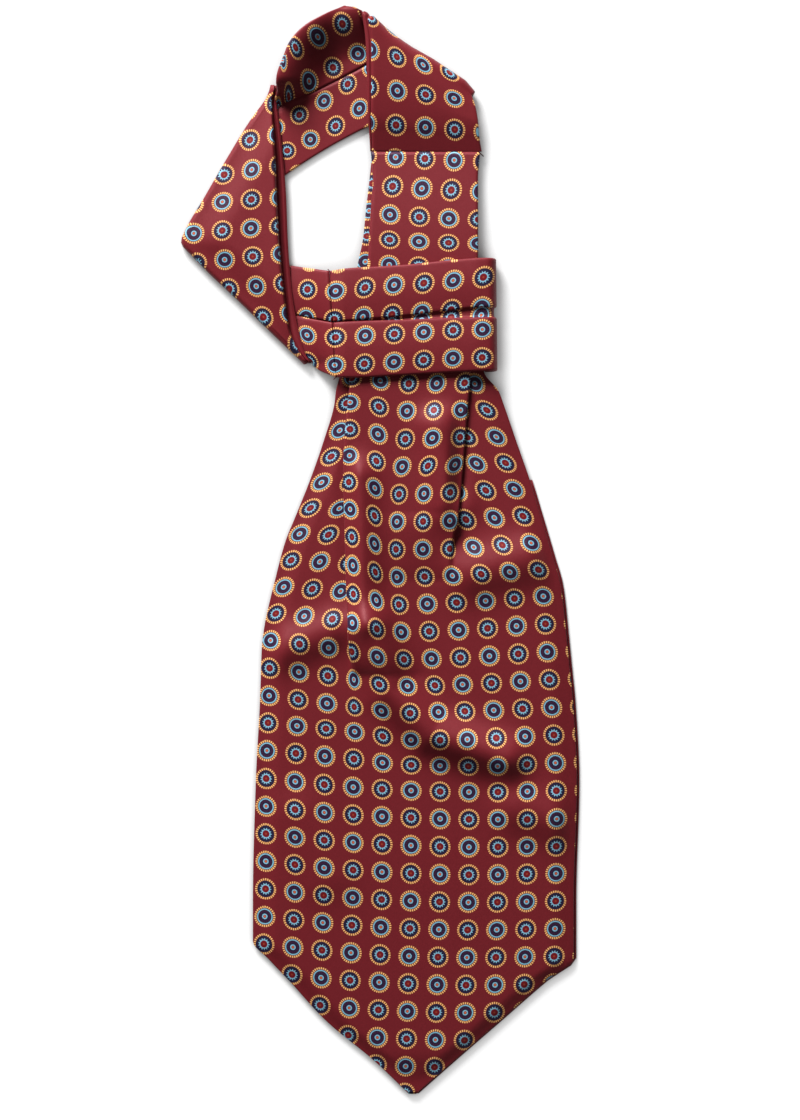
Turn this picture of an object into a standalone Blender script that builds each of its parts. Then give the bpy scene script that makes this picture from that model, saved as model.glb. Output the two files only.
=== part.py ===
"""A printed silk cravat, looped, crossed over itself and laid flat.

Two wide blades are joined by a narrow neckband. The blade that shows is pleated into the band
at its top, and the band runs up, folds over to the left, folds down, folds under and crosses over
the blade's neck. There it folds round the neck and becomes the second blade, which lies hidden.

The tables are in millimetres: X to the right, Y towards the neckband, Z up from the surface that
the cravat lies on. Every piece is one wall, thickened from a grid of points on its middle surface.
"""
import math

import bmesh
import bpy
from mathutils import Vector

MM = 0.001

# Walls and the air between them
BAND_WALL = 2.0        # the neckband is folded silk, two layers of it
BLADE_WALL = 1.0       # one panel of a blade
HIDDEN_WALL = 1.5      # the second blade, both of its panels
AIR = 0.3
BAND_AIR = 0.5         # inside the neckband's folds

# Heights of the middle of each wall
LOW_BAND = BAND_WALL / 2
HIGH_BAND = LOW_BAND + BAND_WALL + BAND_AIR
SEAM_HEIGHT = 2.6
CROSSING_HEIGHT = 8.8
PANEL_STEP = BLADE_WALL + AIR

# A knife pleat: its two bends, and the shortest flat between them
BEND_RADIUS = PANEL_STEP / 2
BEND_LENGTH = math.pi * BEND_RADIUS
SHORTEST_FLAT = 0.5
# An unpleated section narrower than this, at the blade's point, has its points closer together
UNPLEATED_WIDTH = 70.0

# How far in from its edge a blade's panel reaches its full height
EDGE_FALL = 12.0
# How far the back panel is rolled out past the front panel's right edge
BACK_ROLL = 1.0

SECTION_STEP = 14.0

# The pleated blade, a row for each section across it. fold_left and fold_right are the pleats'
# edges, and each tuck is the cloth that its pleat takes in. A tuck of 0 is where the pleat ends.
FRONT_COLUMNS = ("y", "left", "fold_left", "fold_right", "right", "tuck_left", "tuck_right")
FRONT = [
    (191.8, -4.1, -4.6, 47.8, 46.8, 48, 48),
    (179.0, -5.3, -3.6, 46.8, 45.8, 48, 48),
    (164.6, -7.0, -4.6, 46.8, 45.8, 48, 48),
    (150.2, -8.4, -5.5, 46.8, 45.8, 48, 48),
    (139.7, -10.6, -6.0, 46.8, 46.3, 48, 48),
    (107.0, -15.6, -11.3, 44.9, 49.2, 46, 46),
    (86.9, -19.0, -14.6, 43.2, 50.6, 43, 40),
    (77.3, -21.4, -15.1, 42.7, 57.8, 41, 36),
    (71.5, -22.1, -15.6, 42.0, 60.0, 40, 32),
    (54.2, -27.1, -17.3, 40.6, 66.0, 35, 22.5),
    (35.0, -33.8, -17.8, 39.1, 72.7, 28.5, 12.5),
    (15.8, -41.5, -17.3, 37.2, 78.5, 20, 5.0),
    (6.2, -45.4, -17.0, 36.7, 81.4, 15.5, 3.4),
    (-3.4, -48.2, -16.8, 36.2, 84.2, 11.5, 1.5),
    (-13.0, -50.6, -16.6, 36.2, 87.1, 9.5, 0),
    (-22.6, -53.0, -16.1, 36.2, 88.6, 6.7, 0),
    (-34.6, -55.6, -15.6, 36.2, 89.8, 4.5, 0),
    (-46.6, -57.0, -15.6, 36.2, 91.0, 2.3, 0),
    (-58.6, -57.4, -15.6, 36.2, 92.2, 0, 0),
    (-70.6, -57.8, -15.6, 36.2, 93.4, 0, 0),
    (-109.0, -59.8, -15.6, 36.2, 95.3, 0, 0),
    (-166.6, -61.2, -15.6, 36.2, 93.8, 0, 0),
    (-186.2, -61.2, -15.6, 36.2, 93.8, 0, 0),
    (-194.4, -54.0, -15.6, 36.2, 93.8, 0, 0),
    (-205.0, -43.9, -12.6, 34.2, 80.4, 0, 0),
    (-224.2, -26.2, -4.1, 30.5, 58.3, 0, 0),
    (-243.4, -3.1, 7.5, 25.5, 36.2, 0, 0),
    (-259.2, 13.4, 14.9, 16.8, 18.3, 0, 0),
]

# Height of the middle of the pleated blade's lowest layer, along its centre and at its edges
REST_COLUMNS = ("y", "centre", "edge")
REST = [
    (191.8, 0.5, 0.5),
    (187.0, 0.6, 0.6),
    (139.7, 4.3, 4.3),
    (86.9, 4.3, 4.3),
    (63.8, 3.9, 2.8),
    (44.6, 3.6, 1.8),
    (-238.6, 3.6, 1.8),
    (-255.0, 1.8, 1.8),
    (-260.0, 1.8, 1.8),
]

# Soft ridges in the pleated blade: the line of a crest, its half width and its height
RIDGES = [
    ([(21.0, 60.0), (28.0, 22.0)], 11.0, 4.5),
    ([(-11.0, 36.0), (-9.0, -30.0)], 9.0, 4.0),
    ([(45.0, -6.0), (76.0, 4.0)], 11.0, 4.8),
    ([(-44.0, -28.0), (-16.0, -42.0)], 11.0, 3.0),
    ([(-3.0, -36.0), (7.0, -67.0), (28.0, -84.0), (60.0, -95.0)], 9.5, 4.4),
    ([(66.0, -120.0), (92.0, -130.0)], 11.0, 2.5),
    ([(-38.0, -125.0), (-26.0, -155.0)], 12.0, 1.5),
]
# A pleat that takes in this much cloth holds the ridges down at its edge, and as far as this
HOLDING_TUCK = 12.0
RIDGE_SETBACK = 9.0
# The crossing holds the ridges down above the first of these, and they are free below the second
RIDGES_HELD = 82.0
RIDGES_FREE = 58.0

# The hidden second blade: its edges and the height of its top
REAR_COLUMNS = ("y", "left", "right", "top")
REAR = [
    (138.5, -0.2, 47.4, 3.5),
    (86.9, -4.1, 47.4, 3.5),
    (73.4, -7.0, 47.4, 2.6),
    (54.2, -10.8, 49.7, 1.8),
    (44.6, -14.2, 53.5, HIDDEN_WALL),
    (25.4, -21.8, 59.8, HIDDEN_WALL),
    (6.2, -29.5, 65.5, HIDDEN_WALL),
    (-13.0, -34.8, 71.3, HIDDEN_WALL),
    (-32.2, -39.1, 73.7, HIDDEN_WALL),
    (-70.6, -42.0, 77.5, HIDDEN_WALL),
    (-109.0, -43.9, 79.4, HIDDEN_WALL),
    (-183.0, -43.9, 76.5, HIDDEN_WALL),
    (-192.0, -38.0, 76.5, HIDDEN_WALL),
    (-205.0, -26.1, 62.6, HIDDEN_WALL),
    (-224.2, -8.3, 40.5, HIDDEN_WALL),
    (-236.0, 7.0, 25.2, HIDDEN_WALL),
]

# The stretch behind the neck opening: its edges
BACK_COLUMNS = ("y", "left", "right")
BACK = [
    (260.2, -16.8, -13.4),
    (258.4, -21.8, -10.4),
    (255.8, -26.6, -9.2),
    (251.0, -34.3, -6.6),
    (246.2, -39.6, -3.2),
    (241.4, -42.9, 0.6),
    (236.6, -44.8, 7.5),
    (227.0, -48.2, 22.1),
    (223.5, -48.6, 27.3),
    (220.8, -46.8, 30.8),
    (217.4, -49.8, 30.2),
    (211.2, -53.2, 20.4),
    (207.4, -56.5, 1.2),
    (198.7, -61.3, -18.0),
    (185.8, -68.9, -39.6),
    (169.4, -77.6, -63.0),
    (159.5, -83.4, -79.0),
]

# Its outer edge stands up, like the rim of a dish: the rim's line, its height, and how far in it
# has fallen to nothing. Towards the left stretch it falls between the two places along Y.
RIM = [(-8.0, 262.0), (-17.6, 258.0), (-26.6, 255.8), (-34.3, 251.0), (-39.6, 246.2),
       (-42.9, 241.4), (-44.8, 236.6), (-48.2, 227.0), (-48.6, 223.5)]
RIM_HEIGHT = 8.5
RIM_WIDTH = 22.0
RIM_FULL = 231.0
RIM_FOOT = 219.0

# Lines across the neckband, from its inner or lower edge to its outer or upper edge
RUNG_COLUMNS = ("x1", "y1", "x2", "y2", "z1", "z2")
RIGHT_STRETCH = [
    (-4.5, 192.1, 47.6, 192.1, SEAM_HEIGHT, SEAM_HEIGHT),
    (-5.0, 201.5, 46.6, 197.5, HIGH_BAND, HIGH_BAND),
    (-5.5, 208.0, 46.2, 201.0, 4.3, 3.9),
    (-6.0, 227.0, 45.8, 206.5, 6.2, 4.2),
    (-6.6, 243.0, 45.0, 212.0, 8.9, 4.4),
]
# The fold at the top, and the height of its upper layer at its two ends
TOP_FOLD = [(-5.4, 257.3), (1.6, 250.4), (8.0, 245.4), (14.6, 241.0), (24.7, 235.4), (33.5, 229.6),
            (40.1, 225.4), (44.3, 220.6)]
TOP_FOLD_HEIGHTS = (12.4, 4.6)
CROSS_START = [
    (-36.2, 98.0, -83.8, 141.2, LOW_BAND, LOW_BAND),
    (-28.2, 88.6, -62.0, 140.5, LOW_BAND, LOW_BAND),
    (-25.6, 86.4, -44.0, 137.2, LOW_BAND, LOW_BAND),
    (-20.9, 84.6, -24.3, 133.6, LOW_BAND, LOW_BAND),
]
CROSSING = [
    (-20.4, 84.6, -23.8, 133.6, CROSSING_HEIGHT, CROSSING_HEIGHT),
    (-12.0, 84.4, -14.5, 134.8, CROSSING_HEIGHT, CROSSING_HEIGHT),
    (9.5, 85.6, 9.5, 136.2, CROSSING_HEIGHT, CROSSING_HEIGHT),
    (33.5, 87.0, 33.5, 138.6, CROSSING_HEIGHT, CROSSING_HEIGHT),
    (46.0, 87.6, 46.0, 139.6, CROSSING_HEIGHT, CROSSING_HEIGHT),
]
RIGHT_FOLD = [(55.0, 87.8), (54.4, 139.8)]
# How far a fold's wall runs back under itself before the next piece takes over
FOLD_RETURN = 1.0

# The crossing climbs from the surface to its height between the left stretch and this line
CLIMB_END = -16.6
# Its two flaps meet on this line, and part towards the right fold
FLAP_LINE = 0.52
FLAP_DEPTH = 0.9
FLAP_GAPS = [0.5, 0.6, 1.6, 3.4, 4.6]
FLAP_SHOULDER = 0.8

# The left stretch, folded over on its left side: its outline, the edge of its upper layer, the
# lip of the layer below, and how much the slant of the fold stretches a section across it
LEFT_COLUMNS = ("y", "outline", "edge", "lip", "slant")
LEFT = [
    (221.4, -53.2, -50.8, -49.9, 0.9),
    (217.5, -54.9, -51.8, -50.2, 1.0),
    (207.8, -62.0, -51.1, -49.0, 1.17),
    (193.4, -71.0, -50.2, -47.3, 1.17),
    (169.4, -85.0, -49.2, -45.4, 1.17),
    (155.0, -93.4, -48.5, -44.9, 1.17),
    (148.8, -95.8, -48.1, -44.6, 1.25),
    (143.5, -91.5, -47.7, -44.3, 1.35),
    (135.8, -84.2, -47.0, -43.7, 1.47),
    (121.4, -68.9, -45.4, -42.2, 1.47),
    (107.0, -54.0, -43.4, -39.6, 1.4),
    (94.6, -40.8, -37.8, -36.0, 1.1),
]
LIP_DROP = 0.9

SHADES = {
    "front_blade": (0.170, 0.020, 0.027, 1.0),
    "band": (0.140, 0.017, 0.024, 1.0),
    "hidden": (0.110, 0.014, 0.020, 1.0),
}


def smooth(t):
    """A ramp from 0 to 1 that starts and ends level."""
    t = min(max(t, 0.0), 1.0)
    return t * t * (3 - 2 * t)


def tangents(xs, ys):
    """Slopes for a curve through a table's rows that never runs past its values."""
    steps = [(ys[i + 1] - ys[i]) / (xs[i + 1] - xs[i]) for i in range(len(xs) - 1)]
    slopes = [steps[0]]
    for before, after in zip(steps, steps[1:]):
        slopes.append(0.0 if before * after <= 0 else 2 * before * after / (before + after))
    return slopes + [steps[-1]]


def reader(columns, rows):
    """A function that reads every column of a table at any place along its first column."""
    rows = sorted(rows)
    keys = [row[0] for row in rows]
    values = {name: [row[i] for row in rows] for i, name in enumerate(columns)}
    slopes = {name: tangents(keys, values[name]) for name in columns[1:]}

    def read(key):
        key = min(max(key, keys[0]), keys[-1])
        i = max(j for j in range(len(keys) - 1) if keys[j] <= key)
        span = keys[i + 1] - keys[i]
        t = (key - keys[i]) / span
        result = {columns[0]: key}
        for name, slope in slopes.items():
            low, high = values[name][i], values[name][i + 1]
            result[name] = (low * (1 + 2 * t) * (1 - t) ** 2 + high * t * t * (3 - 2 * t)
                            + span * slope[i] * t * (1 - t) ** 2
                            - span * slope[i + 1] * t * t * (1 - t))
        return result

    return read


def sections(rows, step, start=None):
    """Places along a table's first column: its rows, and evenly spaced ones between them."""
    keys = [row[0] for row in rows if start is None or row[0] <= start]
    places = [keys[0]]
    for before, after in zip(keys, keys[1:]):
        count = max(1, round(abs(after - before) / step))
        places += [before + (after - before) * (k + 1) / count for k in range(count)]
    return places


read_front = reader(FRONT_COLUMNS, FRONT)
read_rest = reader(REST_COLUMNS, REST)
read_rear = reader(REAR_COLUMNS, REAR)
read_left = reader(LEFT_COLUMNS, LEFT)
read_back = reader(BACK_COLUMNS, BACK)


def distance(x, y, line):
    """How far a place is from a line through points."""
    nearest = math.inf
    for (x1, y1), (x2, y2) in zip(line, line[1:]):
        run_x, run_y = x2 - x1, y2 - y1
        along = ((x - x1) * run_x + (y - y1) * run_y) / (run_x ** 2 + run_y ** 2)
        along = min(max(along, 0.0), 1.0)
        nearest = min(nearest, math.hypot(x - x1 - along * run_x, y - y1 - along * run_y))
    return nearest


def swell(x, y):
    """Height that the soft ridges add to the pleated blade at a place."""
    total = sum(height * math.exp(-(distance(x, y, crest) / half_width) ** 2)
                for crest, half_width, height in RIDGES)
    return total * smooth((RIDGES_HELD - y) / (RIDGES_HELD - RIDGES_FREE))


def rim_lift(x, y):
    """Height that the standing outer edge adds to the stretch behind the neck opening."""
    free = smooth((y - RIM_FOOT) / (RIM_FULL - RIM_FOOT))
    return RIM_HEIGHT * (1 - smooth(distance(x, y, RIM) / RIM_WIDTH)) * free


def rest_height(x, y, left, right):
    """Height of the middle of the blade's lowest layer, which falls towards its edges."""
    rest = read_rest(y)
    inward = smooth(min(x - left, right - x) / EDGE_FALL)
    return rest["edge"] + (rest["centre"] - rest["edge"]) * inward


def pleat_turn(tuck):
    """The angle of a pleat's two bends, and the flat between them, for the cloth it takes in."""
    if tuck >= 2 * (BEND_LENGTH + SHORTEST_FLAT):
        return math.pi, tuck / 2 - BEND_LENGTH
    low, high = 0.0, math.pi
    for _ in range(40):
        turn = (low + high) / 2
        radius = BEND_LENGTH / max(turn, 1e-6)
        taken = 2 * (BEND_LENGTH - radius * math.sin(turn)) + SHORTEST_FLAT * (1 - math.cos(turn))
        if taken < tuck:
            low = turn
        else:
            high = turn
    return low, SHORTEST_FLAT


def pleat(tuck, bend_steps, size=1.0):
    """A left pleat's path from the side panel up to the middle panel, from where it starts."""
    turn, flat = pleat_turn(tuck)
    x, z, angle = 0.0, 0.0, 0.0
    path = [(x, z)]
    bends = [turn / bend_steps] * bend_steps + [0.0] + [-turn / bend_steps] * bend_steps
    for bend in bends:
        length = flat if len(path) == bend_steps + 1 else BEND_LENGTH / bend_steps
        middle = angle + bend / 2
        x += length * size * math.cos(middle)
        z += length * size * math.sin(middle)
        angle += bend
        path.append((x, z))
    return path


def spread(start, end, count):
    """Places from one end of a stretch to the other, both left out."""
    return [start + (end - start) * (k + 1) / (count + 1) for k in range(count)]


def front_section(y, bend_steps=3, side_points=4, middle_points=7):
    """The pleated blade's path across one section, left edge to right edge."""
    row = read_front(y)
    left, right = row["left"] + BLADE_WALL / 2, row["right"] - BLADE_WALL / 2
    pleated = row["tuck_left"] + row["tuck_right"] > 0
    size = 1.0 if pleated else min(1.0, (right - left) / UNPLEATED_WIDTH)
    path_left = pleat(row["tuck_left"], bend_steps, size)
    path_right = pleat(row["tuck_right"], bend_steps, size)
    shift_left = row["fold_left"] + BLADE_WALL / 2 - min(x for x, _ in path_left[1:])
    shift_right = row["fold_right"] - BLADE_WALL / 2 + min(x for x, _ in path_right[1:])
    rise = path_left[-1][1], path_right[-1][1]
    turn_left = [(x + shift_left, z) for x, z in path_left]
    turn_right = [(shift_right - x, z) for x, z in reversed(path_right)]
    middle_start, middle_end = turn_left[-1][0], turn_right[0][0]
    middle = []
    for x in spread(middle_start, middle_end, middle_points):
        across = (x - middle_start) / (middle_end - middle_start)
        middle.append((x, rise[0] + (rise[1] - rise[0]) * smooth(across)))
    side_left = [(left, 0.0)] + [(x, 0.0) for x in spread(left, turn_left[0][0], side_points)]
    side_right = [(x, 0.0) for x in spread(turn_right[-1][0], right, side_points)] + [(right, 0.0)]
    held = smooth(row["tuck_left"] / HOLDING_TUCK), smooth(row["tuck_right"] / HOLDING_TUCK)
    points = []
    for part, path in ((-1, side_left + turn_left), (0, middle), (1, turn_right + side_right)):
        for x, z in path:
            away = x - row["fold_left"], row["fold_right"] - x
            if part:
                away = -away[0] if part < 0 else away[0], -away[1] if part > 0 else away[1]
            free = [1 - hold * (1 - smooth(gap / RIDGE_SETBACK)) for hold, gap in zip(held, away)]
            free.append(smooth(min(x - left, right - x) / EDGE_FALL))
            height = rest_height(x, y, row["left"], row["right"]) + z
            points.append(Vector((x, y, height + swell(x, y) * math.prod(free))))
    return points


def across_line(first, last, count):
    """Points on a straight line between two others, both included."""
    return [first.lerp(last, k / (count - 1)) for k in range(count)]


def climb(x, y, height):
    """Height of the crossing, which climbs out from under the left stretch."""
    start = read_left(y)["lip"] + 0.6
    return LOW_BAND + (height - LOW_BAND) * smooth((x - start) / (CLIMB_END - start))


def band_rungs(rows, count, fine=1, climbing=False):
    """Rows of points across a stretch of the neckband, and evenly spaced rows between them."""
    keyed = [(k,) + row for k, row in enumerate(rows)]
    read = reader(("k",) + RUNG_COLUMNS, keyed)
    result = []
    for k in range((len(rows) - 1) * fine + 1):
        rung = read(k / fine)
        first = Vector((rung["x1"], rung["y1"], rung["z1"]))
        last = Vector((rung["x2"], rung["y2"], rung["z2"]))
        points = across_line(first, last, count)
        if climbing:
            points = [Vector((p.x, p.y, climb(p.x, p.y, CROSSING_HEIGHT))) for p in points]
        result.append(points)
    return result


def along_line(line, share):
    """The place at a share of the way along a line's points."""
    share = min(share * (len(line) - 1), len(line) - 1.001)
    k = int(share)
    return Vector((*line[k], 0)).lerp(Vector((*line[k + 1], 0)), share - k)


def fold_rungs(line, layers, outward, bend_steps=5):
    """Rows of points round a fold, from its upper layer down to its lower one.

    layers gives the heights of both, for each point along the fold.
    """
    run = Vector((line[-1][0] - line[0][0], line[-1][1] - line[0][1], 0)).normalized()
    out = Vector((run.y, -run.x, 0))
    if out.dot(outward) < 0:
        out = -out
    result = [[] for _ in range(bend_steps + 1)]
    for step, row in enumerate(result):
        angle = math.pi * step / bend_steps
        for k, (top, bottom) in enumerate(layers):
            radius = (top - bottom) / 2
            height = Vector((0, 0, (top + bottom) / 2 + radius * math.cos(angle)))
            place = along_line(line, k / (len(layers) - 1))
            row.append(place + out * (radius * (math.sin(angle) - 1)) + height)
    result.append([point - out * FOLD_RETURN for point in result[-1]])
    return result


def left_section(y, bend_steps=5, flat_points=4):
    """The left stretch's path across one section, from under its fold to its lip."""
    row = read_left(y)
    radius = (HIGH_BAND - LOW_BAND) / 2
    outer = row["outline"] + BAND_WALL / 2 * row["slant"]
    centre = outer + radius * row["slant"]
    path = [(centre + FOLD_RETURN * row["slant"], LOW_BAND)]
    for k in range(bend_steps + 1):
        angle = math.pi * k / bend_steps
        path.append((centre - radius * row["slant"] * math.sin(angle),
                     LOW_BAND + radius * (1 - math.cos(angle))))
    edge, lip = row["edge"], row["lip"]
    path += [(x, HIGH_BAND) for x in spread(centre, edge, flat_points)]
    path += [(edge, HIGH_BAND), (edge + (lip - edge) * 0.35, HIGH_BAND), (lip, HIGH_BAND)]
    return [Vector((x, y, z)) for x, z in path]


def wall(name, rows, above, below, shade, top_row):
    """Thicken a grid of points into a closed wall, rounded at its sides, and make its object.

    above and below are distances from the grid to the wall's faces, for a row and a column.
    top_row is a row whose middle faces up, which tells the wall's upper side from its lower one.
    """
    last_row, last = len(rows) - 1, len(rows[0]) - 1

    def normal(i, j):
        along = rows[min(i + 1, last_row)][j] - rows[max(i - 1, 0)][j]
        across = rows[i][min(j + 1, last)] - rows[i][max(j - 1, 0)]
        return across.cross(along).normalized()

    side = 1.0 if normal(top_row, last // 2).z > 0 else -1.0
    mesh = bmesh.new()
    loops = []
    for i, row in enumerate(rows):
        ups = [point + normal(i, j) * side * above(i, j) for j, point in enumerate(row)]
        downs = [point - normal(i, j) * side * below(i, j) for j, point in enumerate(row)]
        ends = []
        for j, inner in ((last, last - 1), (0, 1)):
            outward = (row[j] - row[inner]).normalized()
            reach = (above(i, j) + below(i, j)) * 0.4
            ends.append((ups[j] + downs[j]) / 2 + outward * reach)
        points = ups + [ends[0]] + downs[::-1] + [ends[1]]
        loops.append([mesh.verts.new(point * MM) for point in points])
    size = len(loops[0])
    for loop, following in zip(loops, loops[1:]):
        for k in range(size):
            after = (k + 1) % size
            mesh.faces.new((loop[k], loop[after], following[after], following[k]))
    for loop in (loops[0], loops[-1]):
        ups, right_end = loop[:last + 1], loop[last + 1]
        downs, left_end = loop[last + 2:-1][::-1], loop[-1]
        for j in range(last):
            mesh.faces.new((ups[j], ups[j + 1], downs[j + 1], downs[j]))
        mesh.faces.new((ups[last], right_end, downs[last]))
        mesh.faces.new((downs[0], left_end, ups[0]))
    bmesh.ops.recalc_face_normals(mesh, faces=mesh.faces)
    data = bpy.data.meshes.new(name)
    mesh.to_mesh(data)
    mesh.free()
    data.shade_smooth()
    data.set_sharp_from_angle(angle=math.radians(50))
    piece = bpy.data.objects.new(name, data)
    bpy.context.scene.collection.objects.link(piece)
    piece.data.materials.append(silk(name, SHADES[shade]))
    return piece


def silk(name, colour):
    """Smooth silk with a soft shine."""
    material = bpy.data.materials.new(name)
    material.use_nodes = True
    shader = material.node_tree.nodes["Principled BSDF"]
    shader.inputs["Base Color"].default_value = colour
    shader.inputs["Roughness"].default_value = 0.42
    shader.inputs["Metallic"].default_value = 0.0
    shader.inputs["Sheen Weight"].default_value = 0.3
    return material


def even(thickness):
    """The same half thickness all over a wall."""
    return lambda i, j: thickness / 2


def front_blade():
    """The pleated panel, from its seam at the neckband to its point."""
    rows = [front_section(y) for y in sections(FRONT, SECTION_STEP)]
    return wall("front_blade", rows, even(BLADE_WALL), even(BLADE_WALL), "front_blade", len(rows) - 5)


def front_blade_back(points=12):
    """The back panel of the pleated blade, which shows as a thin roll along the right edge."""
    rows = []
    for y in sections(FRONT, SECTION_STEP * 2, start=44.6):
        row = read_front(y)
        left, right = row["left"] + BLADE_WALL, row["right"] + BACK_ROLL - BLADE_WALL / 2
        points_here = []
        for x in [left] + spread(left, right, points - 2) + [right]:
            height = rest_height(x, y, row["left"], row["right"]) - PANEL_STEP
            points_here.append(Vector((x, y, height)))
        rows.append(points_here)
    return wall("front_blade_back", rows, even(BLADE_WALL), even(BLADE_WALL), "hidden", len(rows) // 2)


def rear_blade(points=5):
    """The second blade, hidden under the first, with its neck under the crossing."""
    places = sections(REAR, SECTION_STEP * 3)
    tops = [read_rear(y)["top"] for y in places]
    rows = []
    for y in places:
        row = read_rear(y)
        rows.append(across_line(Vector((row["left"], y, 0)), Vector((row["right"], y, 0)), points))
    return wall("rear_blade", rows, lambda i, j: tops[i], lambda i, j: 0.0, "hidden", len(rows) // 2)


def neckband_right(points=11):
    """The neckband from the pleated blade's seam up to the top fold, and round it."""
    layers = []
    for k in range(points):
        share = k / (points - 1)
        place = along_line(TOP_FOLD, share)
        top = TOP_FOLD_HEIGHTS[0] + (TOP_FOLD_HEIGHTS[1] - TOP_FOLD_HEIGHTS[0]) * share
        layers.append((top, LOW_BAND + rim_lift(place.x, place.y)))
    folded = fold_rungs(TOP_FOLD, layers, Vector((1, 1, 0)))
    rows = band_rungs(RIGHT_STRETCH, points)
    return wall("neckband_right", rows + folded, even(BAND_WALL), even(BAND_WALL), "band", 2)


def neckband_back(points=11):
    """The stretch behind the neck opening, inner side up, under both of the others."""
    rows = []
    for y in sections(BACK, SECTION_STEP):
        row = read_back(y)
        ends = Vector((row["left"], y, LOW_BAND)), Vector((row["right"], y, LOW_BAND))
        line = across_line(*ends, points)
        rows.append([Vector((p.x, p.y, p.z + rim_lift(p.x, p.y))) for p in line])
    return wall("neckband_back", rows, even(BAND_WALL), even(BAND_WALL), "band", len(rows) // 2)


def neckband_left():
    """The stretch down the left side, folded over the one behind and on to the crossing."""
    places = sections(LEFT, SECTION_STEP)
    rows = [left_section(y) for y in places]
    last = len(rows[0]) - 1

    def above(i, j):
        return BAND_WALL / 2 - (LIP_DROP if j >= last - 1 else 0.0)

    return wall("neckband_left", rows, above, even(BAND_WALL), "band", len(rows) // 2)


def neckband_cross(points=9):
    """The neckband's end, from under the left stretch to the seam of the second blade."""
    rows = band_rungs(CROSS_START, points, fine=3, climbing=True)
    return wall("neckband_cross", rows, even(BAND_WALL), even(BAND_WALL), "band", 1)


def rear_blade_neck():
    """The second blade's neck: two flaps over the crossing, which fold round it at the right."""
    fine = 2
    rungs = band_rungs(CROSSING, 2, fine=fine, climbing=True)
    layers = [(CROSSING_HEIGHT, LOW_BAND)] * 2
    folds = fold_rungs(RIGHT_FOLD, layers, Vector((1, 0, 0)), bend_steps=6)
    rungs += folds
    rows = []
    for k, (first, last) in enumerate(rungs):
        gap = FLAP_GAPS[min(k // fine, len(FLAP_GAPS) - 1)]
        half = gap / 2 / (last - first).length
        shoulder = FLAP_SHOULDER / (last - first).length
        places = [0, 0.18, 0.36, FLAP_LINE - half - shoulder, FLAP_LINE - half,
                  FLAP_LINE + half, FLAP_LINE + half + shoulder, 0.68, 0.84, 1]
        points = [first.lerp(last, t) for t in places]
        if k < (len(CROSSING) - 1) * fine + 1:
            points = [Vector((p.x, p.y, climb(p.x, p.y, CROSSING_HEIGHT))) for p in points]
        rows.append(points)
    ends = len(rows) - 4

    def above(i, j):
        return BAND_WALL / 2 - (FLAP_DEPTH if j in (4, 5) and i < ends else 0.0)

    return wall("rear_blade_neck", rows, above, even(BAND_WALL), "band", 4)


def main():
    for item in list(bpy.data.objects):
        bpy.data.objects.remove(item, do_unlink=True)
    front_blade()
    front_blade_back()
    rear_blade()
    neckband_right()
    neckband_back()
    neckband_left()
    neckband_cross()
    rear_blade_neck()


main()
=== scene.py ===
import math

import bmesh
import bpy
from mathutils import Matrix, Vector


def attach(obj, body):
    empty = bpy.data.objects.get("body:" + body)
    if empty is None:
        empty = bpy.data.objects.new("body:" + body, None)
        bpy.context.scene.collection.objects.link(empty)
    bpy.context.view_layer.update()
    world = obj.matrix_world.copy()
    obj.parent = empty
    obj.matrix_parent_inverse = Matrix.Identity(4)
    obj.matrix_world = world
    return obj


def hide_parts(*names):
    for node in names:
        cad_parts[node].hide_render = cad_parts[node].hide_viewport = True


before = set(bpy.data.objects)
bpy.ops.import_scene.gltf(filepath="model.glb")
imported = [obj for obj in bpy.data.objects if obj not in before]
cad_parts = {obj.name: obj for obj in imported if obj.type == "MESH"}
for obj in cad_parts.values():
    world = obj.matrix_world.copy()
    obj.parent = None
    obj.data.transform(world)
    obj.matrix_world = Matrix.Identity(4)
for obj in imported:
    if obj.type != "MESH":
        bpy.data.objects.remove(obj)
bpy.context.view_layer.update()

# The silk cravat's looks. Tables are in millimetres and have the CAD's columns. Some of their
# heights are raised here, to match the photo's light and shade.
MM = 0.001

# The walls' thicknesses, and the heights of the middles of the neckband's layers
BAND_WALL = 2.0
PANEL_WALL = 1.0
BAND_HALF = BAND_WALL / 2
PANEL_HALF = PANEL_WALL / 2
LOW_BAND = 1.0
HIGH_BAND = 3.5
SEAM_HEIGHT = 3.6
CROSSING_HEIGHT = 8.8
# How far the front panel's lower face is from its middle, which is less than in the CAD
PANEL_UNDER = 0.3
# Points round each side of a wall
ROUND_POINTS = 5

# A pleat: the step from one layer up to the next, its bends, the shortest flat between them, and
# the rounds of the search for its angle
PANEL_STEP = 1.3
BEND_RADIUS = PANEL_STEP / 2
BEND_LENGTH = math.pi * BEND_RADIUS
SHORTEST_FLAT = 0.5
TURN_ROUNDS = 40
# Below the pleats, a blade narrower than this has its bends made smaller
UNPLEATED_WIDTH = 70.0
# How far in from its edges the blade has fallen to lie on what is below it
EDGE_FALL = 12.0
# How far in from the table's right edge the front panel ends, and how far the back one passes it
ROLL_INSET = 1.0
BACK_ROLL = 1.2
# The back panel's upper end, which the pleats cover
BACK_PANEL_TOP = 44.6

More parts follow.
